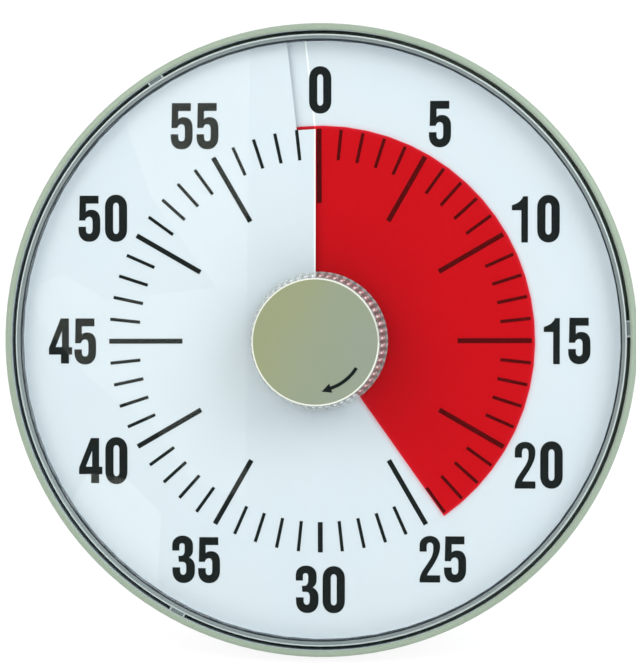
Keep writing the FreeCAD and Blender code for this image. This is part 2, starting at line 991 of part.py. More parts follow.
def make_third_wheel():
    body = new_body("third_wheel")
    low = "wheel_low - 2.3"
    gear(body, "third_teeth", "module_mid", low, "1", 0.75, "second_angle", None)
    leaf = "third_angle + 180 + 180 / third_leaves"
    gear(body, "third_leaves", "module_slow", low + " + 1", "2.8", 0.7, leaf, None)
    drill(body, [("0", "0")], BORE, low, "3.8")
    return seat(body, at(*THIRD))


def make_second_wheel():
    body = new_body("second_wheel")
    low = "wheel_low - 4.3"
    gear(body, "second_teeth", "module_fast", low, "0.9", 0.75, "rotor_angle", None)
    leaf = "second_angle + 180 + 180 / second_leaves"
    gear(body, "second_leaves", "module_mid", low + " + 0.9", "2.4", 0.7, leaf, None)
    drill(body, [("0", "0")], BORE, low, "3.3")
    return seat(body, at(*SECOND))


def make_rotor():
    body = new_body("rotor")
    low = "stator_low - 0.2"
    pad_rounds(body, [("0", "0")], "3.1", low, "1.5")
    leaf = "rotor_angle + 180 + 180 / rotor_leaves"
    gear(
        body,
        "rotor_leaves",
        "module_fast",
        low + " + 1.5",
        "wheel_low - 3.1 - stator_low - 1.3",
        0.65,
        leaf,
        None,
    )
    drill(body, [("0", "0")], "arbor_rad / 2 + run", low, "wheel_low - 3.1 - stator_low + 0.2")
    return seat(body, at(*ROTOR))


def make_wheel_arbors():
    body = new_body("wheel_arbors")
    pad_rounds(body, [THIRD, SECOND], "arbor_rad", "box_low + 0.2", "box_top - box_low - 0.4")
    pad_rounds(body, [ROTOR], "arbor_rad / 2", "box_low + 0.2", "box_top - box_low - 0.4")
    return seat(body)


def make_movement_half(label, base, height, floor, open_up):
    body = new_body(label)
    pad_box(body, "-box_half", "box_right", "-box_fall", "box_half", base, height)
    cut_box(
        body,
        "box_wall - box_half",
        "box_right - box_wall",
        "box_wall - box_fall",
        "box_half - box_wall",
        floor,
        f"({height}) - box_wall",
    )
    drill(body, [THIRD, SECOND], "arbor_rad", base, height)
    drill(body, [ROTOR], "arbor_rad / 2", base, height)
    if open_up:
        drill(body, [("0", "0")], "pivot_rad + run", base, height)
    else:
        drill(body, [("0", "0")], "bush_rad + bush_flange + 0.4", base, height)
        low = "floor_back - ear_drop - ear_thick"
        for left, right in (
            ("box_right", "ear_right + ear_out"),
            ("ear_left - ear_out", "-box_half"),
        ):
            pad_box(body, left, right, "-ear_out", "ear_out", low, "ear_thick")
        drill(body, EARS, "screw_rad + 0.2", low, "ear_thick")
    return seat(body)


def make_motor_stator():
    """A U of soft iron round the rotor, with two posts for the coil's core."""
    body = new_body("motor_stator")
    drawing = new_sketch(body, "stator_low")
    right, inner, left = "rotor_x + 4.2", "rotor_x - 5", "coil_x - 3"
    low, high = "rotor_y - stator_half", "rotor_y + stator_half"
    arm_low, arm_high = "rotor_y - coil_half", "rotor_y + coil_half"
    outline(
        drawing,
        [
            (right, low),
            (right, high),
            (left, high),
            (left, arm_high),
            (inner, arm_high),
            (inner, arm_low),
            (left, arm_low),
            (left, low),
        ],
    )
    feature(body, "Pad", drawing, "stator_thick")
    drill(body, [ROTOR], "3.5", "stator_low", "stator_thick")
    for start, end in ((arm_high, high), (low, arm_low)):
        pad_box(body, "coil_x - 2", "coil_x + 2", start, end, "stator_low + stator_thick", "3")
    return seat(body)


def make_motor_coil():
    """A winding between the flanges of its bobbin, which sits between the stator's posts."""
    body = new_body("motor_coil")
    for start, radius, length in (
        ("fit - coil_half", "coil_rad + 0.5", "flange_thick"),
        ("fit - coil_half + flange_thick", "coil_rad", "2 * (coil_half - fit - flange_thick)"),
        ("coil_half - fit - flange_thick", "coil_rad + 0.5", "flange_thick"),
    ):
        drawing = new_sketch(body, f"-rotor_y + {start}", "XZ_Plane")
        circles(drawing, [("coil_x", "stator_low + 3")], radius)
        feature(body, "Pad", drawing, length)
    return seat(body)


def make_zero_contact():
    """A springy leaf beside the cam, bent up at its far end to its fixing."""
    body = new_body("zero_contact")
    drawing = new_sketch(body, "box_low + box_wall")
    near = "shaft_rad + 1.8"
    far = "shaft_rad + 1.8 + leaf_thick"
    outline(
        drawing,
        [
            ("-leaf_free", near),
            ("leaf_reach + leaf_thick", near),
            ("leaf_reach + leaf_thick", "leaf_end"),
            ("leaf_reach", "leaf_end"),
            ("leaf_reach", far),
            ("-leaf_free", far),
        ],
    )
    feature(body, "Pad", drawing, "leaf_wide")
    return seat(body)


# Electronics and battery


def make_block(label, left, right, low, high, base, height):
    body = new_body(label)
    pad_box(body, left, right, low, high, base, height)
    return body


def make_circuit_board():
    body = make_block(
        "circuit_board",
        "board_x",
        "board_x + board_long",
        "-board_wide / 2",
        "board_wide / 2",
        "board_low",
        "board_thick",
    )
    pegs = [
        ("board_x + " + inset, sign + "(board_wide / 2 - 3)")
        for inset in ("3", "board_long - 3")
        for sign in ("", "-")
    ]
    drill(body, pegs, "1 + run", "board_low", "board_thick")
    return seat(body)


def make_control_chip():
    top = "board_low + board_thick"
    return seat(make_block("control_chip", "board_x + 14", "board_x + 19", "-2", "2", top, "1.5"))


def make_quartz_crystal():
    body = new_body("quartz_crystal")
    drawing = new_sketch(body, "-4", "XZ_Plane")
    circles(drawing, [("board_x + 24", "board_low + board_thick + 1")], "1")
    feature(body, "Pad", drawing, "6")
    return seat(body)


def make_sounder():
    body = new_body("sounder")
    height = "board_low - floor_thick - 0.8"
    pad_rounds(body, [("sounder_x", "0")], "sounder_rad", "floor_thick + 0.8", height)
    drill(body, [("sounder_x", "0")], "1.2", "floor_thick + 0.8", "2")
    return seat(body)


def make_switch_body():
    low = "board_low - 3.4"
    body = make_block("switch_body", "switch_x - 4", "switch_x + 4", "-4.5", "4.5", low, "3.4")
    cut_box(
        body,
        "switch_x - 1.3",
        "switch_x + 1.3",
        "-switch_travel / 2 - 1.8",
        "switch_travel / 2 + 1.8",
        low,
        "1.6",
    )
    return seat(body)


def make_switch_slider():
    body = make_block(
        "switch_slider",
        "switch_x - 1.1",
        "switch_x + 1.1",
        "-switch_travel / 2 - 1.5",
        "-switch_travel / 2 + 1.5",
        "0.3",
        "board_low - 3.4 + 1.2 - 0.3",
    )
    return seat(body)


def make_battery_cell():
    body = new_body("battery_cell")
    half = "cell_long / 2"
    revolve(
        body,
        [
            ("0", f"-{half}"),
            ("cell_rad - 0.8", f"-{half}"),
            ("cell_rad", f"-{half} + 0.8"),
            ("cell_rad", f"{half} - 1.8"),
            ("cell_rad - 0.8", f"{half} - 1"),
            ("2.6", f"{half} - 1"),
            ("2.6", half),
            ("0", half),
        ],
    )
    turn = Rotation(Vector(0, 1, 0), 90)
    return seat(body, at("0", "bay_mid", "cell_mid", turn))


def make_contact(label, sign):
    """A springy strip between the end of the cell and the end of its bay."""
    body = new_body(label)
    drawing = new_sketch(body, "cell_mid - 3")
    wall = f"{sign}(bay_half - 0.05)"
    rib = f"{sign}(bay_half - 0.35)"
    tip = f"{sign}(cell_long / 2 + 0.1)"
    back = f"{sign}(cell_long / 2 + 0.4)"
    corners = [
        (wall, "bay_mid + 6"),
        (wall, "bay_mid - 6"),
        (back, "bay_mid - 1.5"),
        (back, "bay_mid + 1.5"),
        (tip, "bay_mid + 1.5"),
        (tip, "bay_mid - 1.5"),
        (rib, "bay_mid - 6.6"),
        (f"{sign}bay_half", "bay_mid - 6.6"),
        (f"{sign}bay_half", "bay_mid + 6"),
    ]
    corners = [corners[i] for i in (8, 7, 6, 5, 4, 3, 2, 1, 0)]
    outline(drawing, corners)
    feature(body, "Pad", drawing, "6")
    return seat(body)


def make_battery_door():
    body = make_block(
        "battery_door",
        "-door_half",
        "door_half",
        "door_axis",
        "door_end",
        "door_mid - door_thick / 2",
        "door_thick",
    )
    for start, radius, length in (
        ("-door_half", "door_thick / 2", "2 * door_half"),
        ("-door_half - 1.2", "door_pin", "2 * (door_half + 1.2)"),
    ):
        drawing = new_sketch(body, start, "YZ_Plane")
        circles(drawing, [("door_axis", "door_mid")], radius)
        feature(body, "Pad", drawing, length)
    # Finger grooves along the free edge
    for index in range(4):
        low = f"door_end - {2.4 + 1.6 * index}"
        cut_box(body, "-7", "7", low, low + " + 0.7", "door_mid - door_thick / 2", "0.4")
    return seat(body)


def make_magnets():
    body = new_body("magnets")
    cups = four_corners("magnet_ring", "magnet_angle")
    pad_rounds(body, cups, "magnet_rad", "fit", "magnet_thick")
    return seat(body)


# Stand: drawn folded, with its hinge pin on the X axis


def make_stand_leg():
    body = new_body("stand_leg")
    half = "leg_thick / 2"
    end = "(leg_long - pad_long)"
    drawing = new_sketch(body, "-" + half)
    outline(
        drawing,
        [
            ("-leg_half", "leg_heel"),
            ("-leg_half", "-6"),
            ("-leg_half + 4", f"-{end}"),
            ("leg_half - 4", f"-{end}"),
            ("leg_half", "-6"),
            ("leg_half", "leg_heel"),
        ],
    )
    feature(body, "Pad", drawing, "leg_thick")
    pad_box(
        body,
        "-leg_half + 6",
        "leg_half - 6",
        "-(leg_long - 2)",
        f"-{end} + 1",
        "-leg_thick / 5",
        "leg_thick / 2.5",
    )
    drawing = new_sketch(body, "-" + half)
    outline(
        drawing,
        [
            ("-leg_half + 6", "-9"),
            ("-leg_half + 8.5", f"-{end} + 6"),
            ("leg_half - 8.5", f"-{end} + 6"),
            ("leg_half - 6", "-9"),
        ],
    )
    feature(body, "Pocket", drawing, "leg_thick / 3", True)
    drawing = new_sketch(body, "leg_half", "YZ_Plane")
    circles(drawing, [("0", "0")], "pin_rad + run")
    feature(body, "Pocket", drawing, "leg_wide")
    return seat(body, hinge_place())


def make_stand_pad():
    end = "(leg_long - pad_long)"
    body = make_block(
        "stand_pad",
        "-leg_half + 4",
        "leg_half - 4",
        "-leg_long",
        f"-{end}",
        "-leg_thick / 2",
        "leg_thick",
    )
    cut_box(
        body,
        "-leg_half + 6",
        "leg_half - 6",
        "-(leg_long - 2)",
        f"-{end} + 1",
        "-leg_thick / 5",
        "leg_thick / 2.5",
    )
    return seat(body, hinge_place())


def hinge_place():
    open_turn = Rotation(Vector(1, 0, 0), worth("leg_open"))
    return at("0", "hinge_y", "hinge_z", open_turn)


def make_stand_pin():
    body = new_body("stand_pin")
    drawing = new_sketch(body, "-recess_half - 3", "YZ_Plane")
    circles(drawing, [("hinge_y", "hinge_z")], "pin_rad")
    feature(body, "Pad", drawing, "2 * (recess_half + 3)")
    return seat(body)


parts = [
    make_case_rim(),
    make_rear_cover(),
    make_screws(
        "cover_screws", four_corners("screw_ring", "post_angle"), "1", "1.6", "boss_top + 6"
    ),
    make_screws(
        "plate_screws",
        four_corners("screw_ring", "plate_angle"),
        "ledge_back - 1.6",
        "1.6",
        "floor_back + 1.6",
    ),
    make_lens_ring(),
    make_lens(),
    make_dial_plate(),
    make_dial_ramp(),
    make_dial_card(),
    make_film_disc(),
    make_film_hub(),
    make_knob_cap(),
    make_knob_grip(),
    make_drive_shaft(),
    make_shaft_bush(),
    make_shaft_clip(),
    make_clutch_washer(),
    make_zero_cam(),
    make_output_wheel(),
    make_third_wheel(),
    make_second_wheel(),
    make_rotor(),
    make_wheel_arbors(),
    make_movement_half("movement_front", "box_joint", "box_top - box_joint", "box_joint", False),
    make_movement_half(
        "movement_back", "box_low", "box_joint - box_low - fit", "box_low + box_wall", True
    ),
    make_screws(
        "movement_screws",
        EARS,
        "floor_back - ear_drop - ear_thick - 1.4",
        "1.4",
        "floor_back + 0.8",
    ),
    make_motor_stator(),
    make_motor_coil(),
    make_zero_contact(),
    make_circuit_board(),
    make_control_chip(),
    make_quartz_crystal(),
    make_sounder(),
    make_switch_body(),
    make_switch_slider(),
    make_battery_cell(),
    make_contact("contact_plus", ""),
    make_contact("contact_minus", "-"),
    make_battery_door(),
    make_magnets(),
    make_stand_leg(),
    make_stand_pad(),
    make_stand_pin(),
]

doc.recompute()
for item in doc.Objects:
    if "Invalid" in item.State or "Error" in item.State:
        raise SystemExit(f"{item.Label} failed: {item.State}")
for piece in parts:
    if piece.Shape.isNull() or not piece.Shape.isValid():
        raise SystemExit(f"{piece.Label} has no valid shape")
os.makedirs("parts", exist_ok=True)
for piece in parts:
    piece.Shape.exportStep(f"parts/{piece.Label}.step")
print(f"lean {math.degrees(lean):.2f} degrees, {len(parts)} pieces")
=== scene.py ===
import json
import math

import bpy
from mathutils import Matrix, Vector, geometry


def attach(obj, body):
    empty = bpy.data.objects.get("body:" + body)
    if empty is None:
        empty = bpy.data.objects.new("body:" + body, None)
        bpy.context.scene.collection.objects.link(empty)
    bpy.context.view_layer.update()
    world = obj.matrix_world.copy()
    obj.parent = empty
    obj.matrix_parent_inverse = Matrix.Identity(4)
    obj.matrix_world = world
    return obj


# A round countdown timer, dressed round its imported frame. Sizes are in millimetres until they
# are placed. Dial coordinates run right, up and out towards the viewer, from the middle of the
# flat back. Clock angles run clockwise from the 0.

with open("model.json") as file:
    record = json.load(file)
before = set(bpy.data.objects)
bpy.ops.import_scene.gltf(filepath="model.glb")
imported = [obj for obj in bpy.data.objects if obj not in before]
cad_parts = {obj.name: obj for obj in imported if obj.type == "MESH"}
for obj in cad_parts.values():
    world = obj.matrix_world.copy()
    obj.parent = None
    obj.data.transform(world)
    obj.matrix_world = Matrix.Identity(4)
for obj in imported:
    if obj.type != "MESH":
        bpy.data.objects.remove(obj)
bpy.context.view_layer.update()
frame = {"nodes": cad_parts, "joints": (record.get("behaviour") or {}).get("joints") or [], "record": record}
NODES = frame["nodes"]
MM = 0.001

knob_turn = next(j for j in frame["joints"] if j["name"] == "knob_turn")
OUT = -Vector(knob_turn["axis"]).normalized()
RIGHT = Vector((1, 0, 0))
UP = OUT.cross(RIGHT)


def levels(node):
    """Lowest and highest level of a node along the dial's axis, in metres."""
    heights = [v.co.dot(OUT) for v in NODES[node].data.vertices]
    return min(heights), max(heights)


BACK = levels("rear_cover")[0]
MIDDLE = Vector(knob_turn["pos_m"])
MIDDLE -= OUT * (MIDDLE.dot(OUT) - BACK)
DIAL = Matrix.Translation(MIDDLE) @ Matrix((RIGHT, UP, OUT)).transposed().to_4x4()


def reach(node):
    """How far a node reaches from the dial's axis, in millimetres."""
    spots = [v.co - MIDDLE for v in NODES[node].data.vertices]
    return max((spot - OUT * spot.dot(OUT)).length for spot in spots) / MM


def level(node, end):
    """A node's back (0) or front (1) level, in millimetres from the flat back."""
    return (levels(node)[end] - BACK) / MM


# Sizes

CARD_TOP = level("dial_card", 1)
SLIT_RISE = 1.6
CAP_TOP = level("knob_cap", 1)
CAP_RAD = reach("knob_cap")
RING_TOP = level("lens_ring", 1)
LENS_TOP = level("lens", 1)
CASE_IN = 92.9
GAP_DEEP = 6
RING_OUT = 91.8
RING_HIGHLIGHT = 0.4
RING_HIGHLIGHT_DEEP = 0.6
SEAT_SHADE_FROM = 89.95
SLIT_SIDE = 1.4
SLIT_TURN = 63.45
SLIT_LEAN = 6.4
SLIT_HIGHLIGHT = 0.42
TABS = 3
TAB_FIRST = 87.7
TAB_WIDE = 5
TAB_HIGHLIGHT = 0.5
CAP_CUT = 0.44
CAP_CUT_DEEP = 0.47
GRIP_TEETH = 56
TIP_IN = 0.45
TIP_OUT = 0.8
SKIN = 0.02
INK_LIFT = 0.04
INK_THICK = 0.03

MINUTE = 6
LINE_END = 63.7
PRINT_TURN = -0.2
PRINT_MIDDLE = (-0.22, -0.16)
SHORT_LINE = 54.55
LONG_LINE = 41.45
THIN = 0.98
THICK = 1.49

NUMBER_SCALE = 1.02
NUMBER_TALL = 13.9
ARROW_RAD = 14.36
ARROW_DROP = 0.4
ARROW_START = 121.9
ARROW_END = 172.5
ARROW_WIDE = 1.0
ARROW_HEAD = 2.8


# Pieces


def place(name, mesh_parts, body, finish):
    """A piece from corners and faces in dial coordinates, riding on a body."""
    corners, faces = mesh_parts
    mesh = bpy.data.meshes.new(name)
    mesh.from_pydata([DIAL @ (Vector(c) * MM) for c in corners], [], faces)
    mesh.materials.append(finish)
    mesh.validate()
    mesh.update()
    piece = bpy.data.objects.new(name, mesh)
    bpy.context.scene.collection.objects.link(piece)
    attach(piece, body)
    return piece


def join(parts):
    """One set of corners and faces from several."""
    corners, faces = [], []
    for more_corners, more_faces in parts:
        start = len(corners)
        corners += more_corners
        faces += [[i + start for i in face] for face in more_faces]
    return corners, faces


def on_clock(angle, radius):
    """The point at a clock angle and a radius."""
    turn = math.radians(90 - angle)
    return Vector((radius * math.cos(turn), radius * math.sin(turn)))


def card_height(angle):
    """The card's upper face at a clock angle."""
    return CARD_TOP - SLIT_RISE * (1 - angle / 360)


def print_sheet(outlines, lift):
    """A thin closed sheet from flat outlines, the first outside and the rest holes."""
    points = [Vector((x, y, 0)) for outline in outlines for x, y in outline]
    triangles = geometry.tessellate_polygon([[Vector((x, y, 0)) for x, y in o] for o in outlines])
    count = len(points)
    corners = [(p.x, p.y, lift(p.x, p.y)) for p in points]
    corners += [(x, y, z + INK_THICK) for x, y, z in corners]
    faces = []
    for a, b, c in triangles:
        turn = (points[b] - points[a]).cross(points[c] - points[a]).z
        a, b, c = (a, b, c) if turn > 0 else (a, c, b)
        faces += [[a + count, b + count, c + count], [c, b, a]]
    start = 0
    for number, outline in enumerate(outlines):
        size = len(outline)
        area = sum(
            outline[i - 1][0] * outline[i][1] - outline[i][0] * outline[i - 1][1]
            for i in range(size)
        )
        forward = (area > 0) == (number == 0)
        for i in range(size):
            a, b = start + i, start + (i + 1) % size
            a, b = (a, b) if forward else (b, a)
            faces.append([a, b, b + count, a + count])
        start += size
    return corners, faces


# Materials


class Value:
    """A socket of a material, for sums and products that add its Math nodes."""

    def __init__(self, paint, socket):
        self.paint = paint
        self.socket = socket

    def math(self, operation, *others):
        settings = {"operation": operation}
        return self.paint.node("ShaderNodeMath", settings, dict(enumerate((self, *others))))

    def __add__(self, other):
        return self.math("ADD", other)

    def __sub__(self, other):
        return self.math("SUBTRACT", other)

    def __rsub__(self, other):
        settings = {"operation": "SUBTRACT"}
        return self.paint.node("ShaderNodeMath", settings, {0: other, 1: self})

    def __mul__(self, other):
        return self.math("MULTIPLY", other)

    def __truediv__(self, other):
        return self.math("DIVIDE", other)

    def __gt__(self, other):
        return self.math("GREATER_THAN", other)

    def __lt__(self, other):
        return self.math("LESS_THAN", other)

    def __pow__(self, other):
        return self.math("POWER", other)

    __radd__ = __add__
    __rmul__ = __mul__


class Paint:
    """A material, or a world, under construction."""

    def __init__(self, name, kind="materials"):
        self.owner = getattr(bpy.data, kind).new(name)
        self.owner.use_nodes = True
        self.tree = self.owner.node_tree
        self.tree.nodes.clear()

    def node(self, kind, settings=None, sockets=None, out=0):
        """Add a node: its settings first, then the values or links of its sockets."""
        item = self.tree.nodes.new(kind)
        for key, value in (settings or {}).items():
            setattr(item, key, value)
        for key, value in (sockets or {}).items():
            if isinstance(value, Value):
                self.tree.links.new(value.socket, item.inputs[key])
            elif value is not None:
                item.inputs[key].default_value = value
        return Value(self, item.outputs[out]) if len(item.outputs) else None

    def place(self):
        """A point's right, up and out in the dial's millimetres, at rest."""
        point = self.node("ShaderNodeTexCoord", out="Object")
        point = self.node(
            "ShaderNodeVectorMath", {"operation": "SUBTRACT"}, {0: point, 1: MIDDLE}
        )
        return [
            self.node(
                "ShaderNodeVectorMath", {"operation": "DOT_PRODUCT"}, {0: point, 1: way}, "Value"
            )
            / MM
            for way in (RIGHT, UP, OUT)
        ]

    def noise(self, size, detail):
        """Noise with features of about a size in millimetres, from 0 to 1."""
        point = self.node("ShaderNodeTexCoord", out="Object")
        sockets = {"Vector": point, "Scale": 1 / (size * MM), "Detail": detail, "Roughness": 0.5}
        return self.node("ShaderNodeTexNoise", {}, sockets)

    def blend(self, share, first, second):
        """A shader between two."""
        return self.node("ShaderNodeMixShader", {}, {0: share, 1: first, 2: second})

    def mix(self, share, first, second):
        """A colour between two."""
        settings = {"data_type": "RGBA"}
        return self.node("ShaderNodeMix", settings, {0: share, 6: first, 7: second}, 2)

    def sheen(self, least):
        """How much a clear surface mirrors: least when seen straight on, all at a grazing angle."""
        facing = self.node("ShaderNodeLayerWeight", {}, {"Blend": 0.5}, "Facing")
        return facing**5 * (1 - least) + least

    def bump(self, height, distance, round_edge=0.0):
        """A normal from a height of 0 to 1, over edges rounded by a radius in millimetres."""
        normal = None
        if round_edge:
            radius = {"Radius": round_edge * MM}
            normal = self.node("ShaderNodeBevel", {"samples": 4}, radius)
        sockets = {"Height": height, "Distance": distance * MM, "Strength": 1.0}
        return self.node("ShaderNodeBump", {}, {**sockets, "Normal": normal})

    def shine(self, **sockets):
        """A Principled shader, its sockets named in words with underscores."""
        named = {key.replace("_", " "): value for key, value in sockets.items()}
        return self.node("ShaderNodeBsdfPrincipled", {}, named)

    def finish(self, shader):
        """Show a shader and hand over the material."""
        self.node("ShaderNodeOutputMaterial", {}, {"Surface": shader})
        return self.owner


def rgba(red, green, blue):
    """An opaque colour."""
    return (red, green, blue, 1)


def off_axis(right, up):
    """How far a point lies from the dial's axis."""
    return (right * right + up * up) ** 0.5


def plain_finish(name, colour, rough, grain, depth, metallic=0.0, vary=0.04, round_edge=0.15):
    """A moulded or turned finish: colour that varies a little, over a grain of its size."""
    paint = Paint(name)
    broad = paint.noise(grain * 30, 2)
    fine = paint.noise(grain, 3)
    dark = tuple(c * (1 - vary) for c in colour)
    light = tuple(min(c * (1 + vary), 1) for c in colour)
    return paint.finish(
        paint.shine(
            Base_Color=paint.mix(broad, rgba(*dark), rgba(*light)),
            Roughness=(fine - 0.5) * 0.16 + rough,
            Metallic=metallic,
            Normal=paint.bump(fine, depth, round_edge=round_edge),
        )
    )


def case_silver():
    """Champagne silver paint with a fine flake, and a painted highlight: the wall of the gap below the lens
    is painted a pale bluish grey.
    """
    paint = Paint("case_silver")
    flake = paint.noise(0.12, 1)
    broad = paint.noise(25, 2)
    colour = paint.mix(broad, rgba(0.295, 0.365, 0.275), rgba(0.345, 0.415, 0.325))
    colour = paint.mix((flake > 0.64) * 0.35, colour, rgba(0.52, 0.58, 0.50))
    right, up, out = paint.place()
    # painted highlight: the gap's wall below the lens is painted pale bluish grey
    gap_wall_highlight = (off_axis(right, up) < CASE_IN + SKIN) * (out > LENS_TOP - GAP_DEEP)
    colour = paint.mix(gap_wall_highlight, colour, rgba(0.60, 0.69, 0.74))
    return paint.finish(
        paint.shine(
            Base_Color=colour,
            Roughness=flake * 0.16 + 0.40,
            Metallic=0.3,
            Normal=paint.bump(flake, 0.004, round_edge=0.9),
        )
    )


def ring_silver():
    """Silver moulding with painted highlights: a pale band along its outer rim and at the ends of its tabs.
    """
    paint = Paint("ring_silver")
    right, up, out = paint.place()
    radius = off_axis(right, up)
    turn = right.math("ARCTAN2", up) * (180 / math.pi)
    off_tab = (turn - TAB_FIRST + 720).math("PINGPONG", 180 / TABS) * radius * math.radians(1)
    # painted highlights: pale bands at the ends of each tab and along the outer rim of the ring
    blend = (radius > RING_OUT) * (off_tab > TAB_WIDE / 2 - TAB_HIGHLIGHT)
    painted_edge = (radius > RING_OUT - RING_HIGHLIGHT) * (radius < RING_OUT + SKIN)
    painted_edge = painted_edge * (out > RING_TOP - RING_HIGHLIGHT_DEEP)
    grain = paint.noise(0.15, 3)
    broad = paint.noise(5, 2)
    colour = paint.mix(broad, rgba(0.23, 0.27, 0.27), rgba(0.30, 0.34, 0.34))
    colour = paint.mix(painted_edge.math("MAXIMUM", blend), colour, rgba(0.72, 0.78, 0.76))
    return paint.finish(
        paint.shine(
            Base_Color=colour,
            Roughness=(grain - 0.5) * 0.16 + 0.34,
            Metallic=0.4,
            Normal=paint.bump(grain, 0.003, round_edge=0.15),
        )
    )


def dial_white():
    """A satin plastic sheet, cool white and faintly clouded, with a painted highlight: a near-white strip
    along the raised side of its slit.
    """
    paint = Paint("dial_card")
    cloud = paint.noise(28, 2)
    grain = paint.noise(0.35, 3)
    colour = paint.mix(cloud, rgba(0.63, 0.675, 0.735), rgba(0.67, 0.71, 0.75))
    right, up = paint.place()[:2]
    lean = (up - SLIT_TURN).math("MAXIMUM", 0) * math.tan(math.radians(SLIT_LEAN))
    past = right + lean + SLIT_SIDE
    # painted highlight: a near-white strip along the raised side of the slit, where its border catches the
    # light
    cut_edge_highlight = (past > -SLIT_HIGHLIGHT) * (past < SKIN) * (up > CAP_RAD)
    colour = paint.mix(cut_edge_highlight, colour, rgba(0.96, 0.97, 0.96))
    return paint.finish(
        paint.shine(
            Base_Color=colour,
            Roughness=grain * 0.1 + 0.42,
            Specular_IOR_Level=0.35,
            Normal=paint.bump(grain, 0.004),
        )
    )


def print_ink():
    """Matt black printing ink."""
    paint = Paint("print_ink")
    grain = paint.noise(0.2, 2)
    colour = paint.mix(grain, rgba(0.003, 0.006, 0.006), rgba(0.007, 0.011, 0.010))
    return paint.finish(
        paint.shine(Base_Color=colour, Roughness=grain * 0.1 + 0.42, Specular_IOR_Level=0.1)
    )


def film_red():
    """Red see-through film: it filters what lies under it and shines a little of its own."""
    paint = Paint("film_red")
    ripple = paint.noise(18, 2)
    tint = paint.node("ShaderNodeBsdfTransparent", {}, {"Color": rgba(1.0, 0.24, 0.32)})
    body = paint.shine(
        Base_Color=paint.mix(ripple, rgba(0.78, 0.006, 0.014), rgba(0.86, 0.009, 0.019)),
        Roughness=0.35,
        Specular_IOR_Level=0.1,
        Normal=paint.bump(ripple, 0.05),
    )
    return paint.finish(paint.blend(0.05, tint, body))


def lens_clear():
    """Clear acrylic, which mirrors the room a little, with a painted shadow: a dark band round its rim that
    stands in for the shade in the gap there.
    """
    paint = Paint("lens_clear")
    right, up = paint.place()[:2]
    # painted shadow: a dark blue-black band at the lens's rim, for the shade in the gap round it
    seat_shade = (off_axis(right, up) > SEAT_SHADE_FROM) * 0.9
    painted_edge = paint.shine(Base_Color=rgba(0.02, 0.035, 0.05), Roughness=0.4)
    clear = paint.node("ShaderNodeBsdfTransparent", {}, {"Color": rgba(0.975, 0.985, 0.98)})
    wave = paint.noise(45, 1)
    gloss = paint.node(
        "ShaderNodeBsdfGlossy", {}, {"Roughness": 0.01, "Normal": paint.bump(wave, 0.01)}
    )
    mirror = paint.sheen(0.04) * 0.3
    window = paint.blend(mirror, clear, gloss)
    return paint.finish(paint.blend(seat_shade, window, painted_edge))


def cap_satin():
    """Satin champagne metal with a painted reflection, warmer at the upper left and bluer at the lower
    right, and a chamfer that is shinier and painted near-white as a highlight.
    """
    paint = Paint("cap_satin")
    right, up, out = paint.place()
    # the chamfer is shinier and more metallic, and its near-white colour is a painted highlight
    cut_edge_highlight = (off_axis(right, up) > CAP_RAD - CAP_CUT) * (out > CAP_TOP - CAP_CUT_DEEP)
    grain = paint.noise(0.14, 2)
    # painted reflection: the face is warmer at the upper left and bluer at the lower right
    reflection_tint = (right - up * 0.5) * (0.5 / CAP_RAD) + paint.noise(22, 1)
    face = paint.mix(reflection_tint.math("SMOOTH_MIN", 1.0), rgba(0.30, 0.325, 0.18), rgba(0.28, 0.32, 0.25))
    return paint.finish(
        paint.shine(
            Base_Color=paint.mix(cut_edge_highlight, face, rgba(0.88, 0.90, 0.80)),
            Roughness=(1 - cut_edge_highlight) * (grain * 0.12 + 0.30) + 0.14,
            Metallic=cut_edge_highlight * 0.5 + 0.35,
            Normal=paint.bump(grain, 0.004),
        )
    )


def grip_clear():
    """Clear moulded acrylic with a faint even haze, and painted glints: white haze painted along the teeth's
    crests and brightest at their tips, where they catch the light.
    """
    paint = Paint("grip_clear")
    right, up = paint.place()[:2]
    turn = up.math("ARCTAN2", right) * (GRIP_TEETH / math.tau)
    crest = turn.math("PINGPONG", 0.5) * 2
    radius = off_axis(right, up)
    # painted glints: white spots at the tooth tips just outside the cap
    tip_glint = (crest > 0.7) * (radius > CAP_RAD + TIP_IN) * (radius < CAP_RAD + TIP_OUT)
    clear = paint.node("ShaderNodeBsdfTransparent", {}, {"Color": rgba(0.93, 0.95, 0.94)})
    frost_and_glint = paint.shine(Base_Color=rgba(0.95, 0.95, 0.95), Roughness=0.3)
    skin = paint.node("ShaderNodeBsdfGlossy", {}, {"Roughness": 0.12})
    body = paint.blend(paint.sheen(0.05), clear, skin)
    # a faint even haze, with painted sheen along the crests and painted glints at the tips
    share = crest * 0.16 + tip_glint * 0.76 + 0.08
    return paint.finish(paint.blend(share, body, frost_and_glint))


def board_green():
    """A lacquered circuit board with copper runs under the lacquer."""
    paint = Paint("board_green")
    right, up = paint.place()[:2]
    run = (right.math("PINGPONG", 1.1) < 0.3) * (up.math("PINGPONG", 4.0) > 0.6)
    colour = paint.mix(run, rgba(0.015, 0.10, 0.035), rgba(0.05, 0.20, 0.07))
    return paint.finish(paint.shine(Base_Color=colour, Roughness=0.3, Coat_Weight=0.4))


